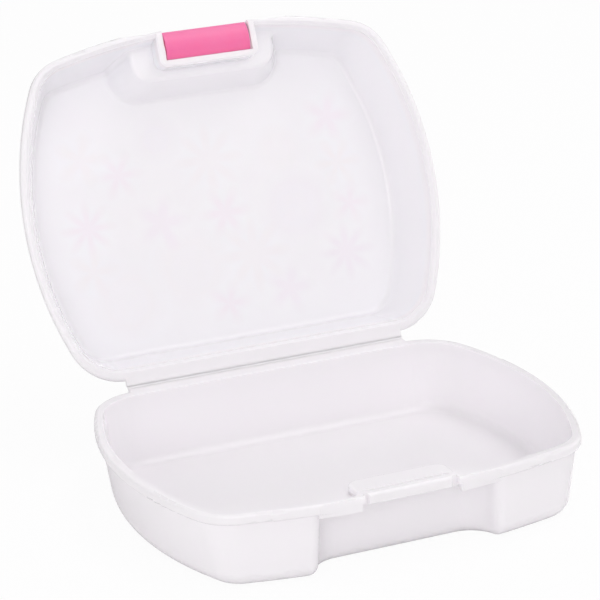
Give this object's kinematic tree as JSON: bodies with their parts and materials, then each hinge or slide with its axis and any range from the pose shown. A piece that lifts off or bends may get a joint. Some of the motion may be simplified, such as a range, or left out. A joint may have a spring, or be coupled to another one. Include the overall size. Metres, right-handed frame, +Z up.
{
  "type": "hinged plastic box",
  "caption": "Shallow hinged notions box of milky plastic, standing open, with a swinging coloured clip in the lid and a finger recess in the front.",
  "frame": {"origin": "centre of the tray's outline, on the flat underside that it rests on", "axes": "+X along the hinge, -Y towards the clip side (front), +Z up; the lid stands open towards +Y"},
  "size_m": [0.17, 0.205, 0.1522],
  "materials": {
    "milky_plastic": "satin translucent polypropylene",
    "clip_plastic": "satin pink",
    "label_film": "printed film"
  },
  "bodies": {
    "base": {"base_tray": "milky_plastic", "strike_bar": "milky_plastic", "hinge_leaf_base": "milky_plastic", "hinge_film": "milky_plastic"},
    "lid": {"lid_shell": "milky_plastic", "lid_label": "label_film", "hinge_leaf_lid": "milky_plastic", "latch_pivot_bar": "milky_plastic"},
    "clip": {"latch_clip": "clip_plastic"}
  },
  "joints": [
    {"name": "lid_hinge", "type": "hinge", "parent": "base", "child": "lid", "pos_m": [0, 0.0692, 0.0291], "axis": [-1, 0, 0], "range_deg": [-112.5, 67.5], "deforming": ["hinge_film"]},
    {"name": "clip_pivot", "type": "hinge", "parent": "lid", "child": "clip", "pos_m": [0, 0.12264, 0.14897], "axis": [-1, 0, 0], "range_deg": [0, 170]}
  ]
}
